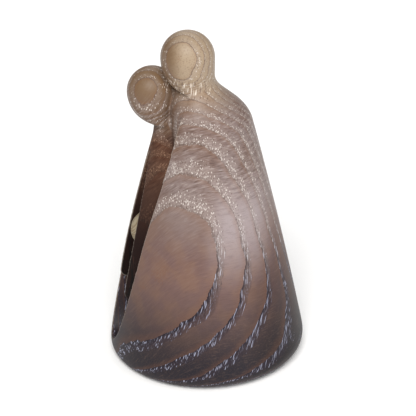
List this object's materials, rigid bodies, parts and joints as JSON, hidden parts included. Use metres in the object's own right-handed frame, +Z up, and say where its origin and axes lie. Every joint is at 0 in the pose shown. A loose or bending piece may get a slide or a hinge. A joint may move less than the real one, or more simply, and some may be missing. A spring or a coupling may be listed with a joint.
{
  "type": "carved wooden nativity sculpture",
  "caption": "Nativity group carved from one block of limed wood: ball-headed figures in one cone, a cloak open at the front, a child in the hollow.",
  "frame": {"origin": "centre of the flat underside, which is the middle of the block's width and depth", "axes": "+Z up through the taller head, -Y out of the cloak's opening, +X to the figures' left"},
  "size_m": [0.0908, 0.0949, 0.1668],
  "materials": {
    "limed_wood": "satin wax over stained, limed, ring-porous wood"
  },
  "bodies": {
    "root": {"nativity_sculpture": "limed_wood"}
  },
  "joints": []
}
